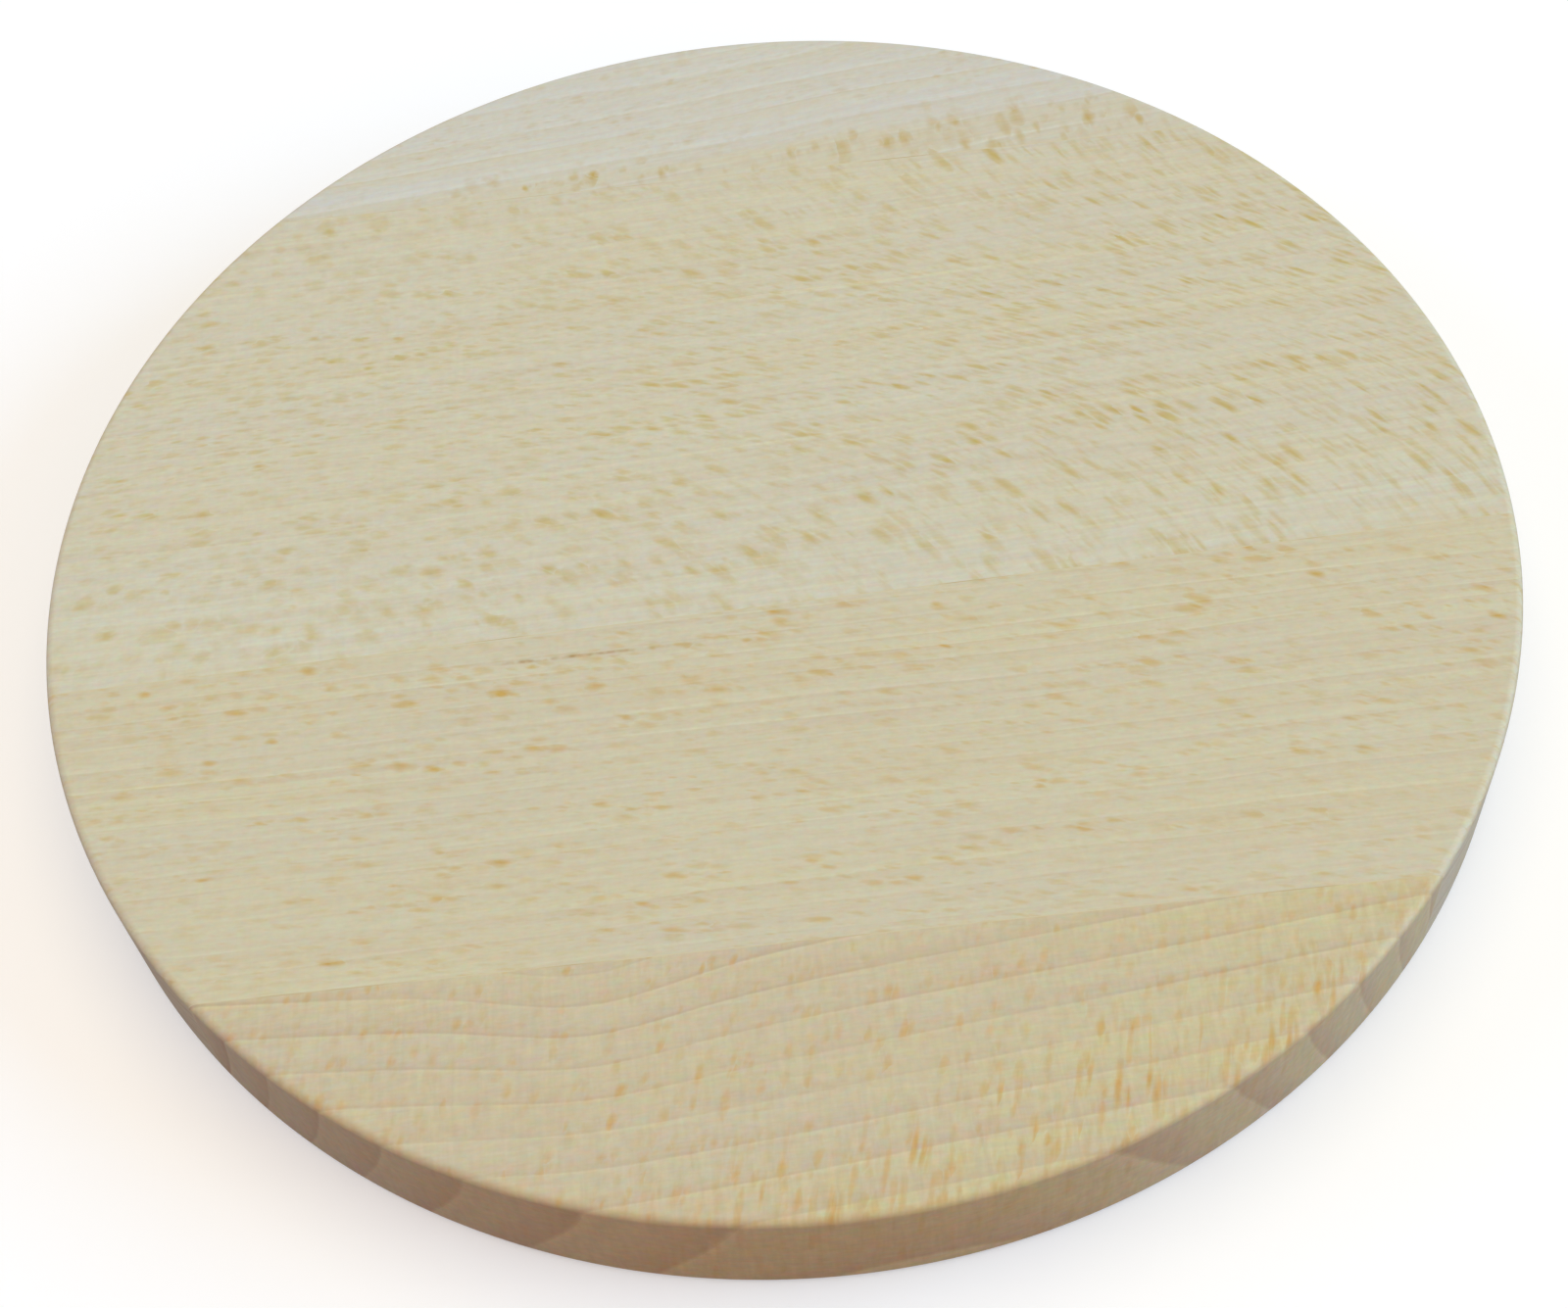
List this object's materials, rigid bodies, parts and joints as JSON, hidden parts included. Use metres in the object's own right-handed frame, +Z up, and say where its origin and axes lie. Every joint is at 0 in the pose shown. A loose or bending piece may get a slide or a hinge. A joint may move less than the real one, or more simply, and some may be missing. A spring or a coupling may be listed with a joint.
{
  "type": "round cutting board",
  "caption": "Round wooden cutting board, edge-glued from parallel staves, with a flat working face, a plain upright rim and lightly rounded edges.",
  "frame": {"origin": "centre of the underside", "axes": "+Z up, from the underside to the working face; +X along the grain; +Y towards the narrow back stave"},
  "size_m": [0.25, 0.25, 0.0225],
  "materials": {
    "pale_beech": "sanded, unoiled, matt",
    "rosy_beech": "sanded, unoiled, matt",
    "wood_glue": "cured, sanded flush"
  },
  "bodies": {
    "root": {"back_stave": "pale_beech", "wide_stave": "pale_beech", "middle_stave": "pale_beech", "front_stave": "rosy_beech", "back_glue_line": "wood_glue", "middle_glue_line": "wood_glue", "front_glue_line": "wood_glue"}
  },
  "joints": []
}
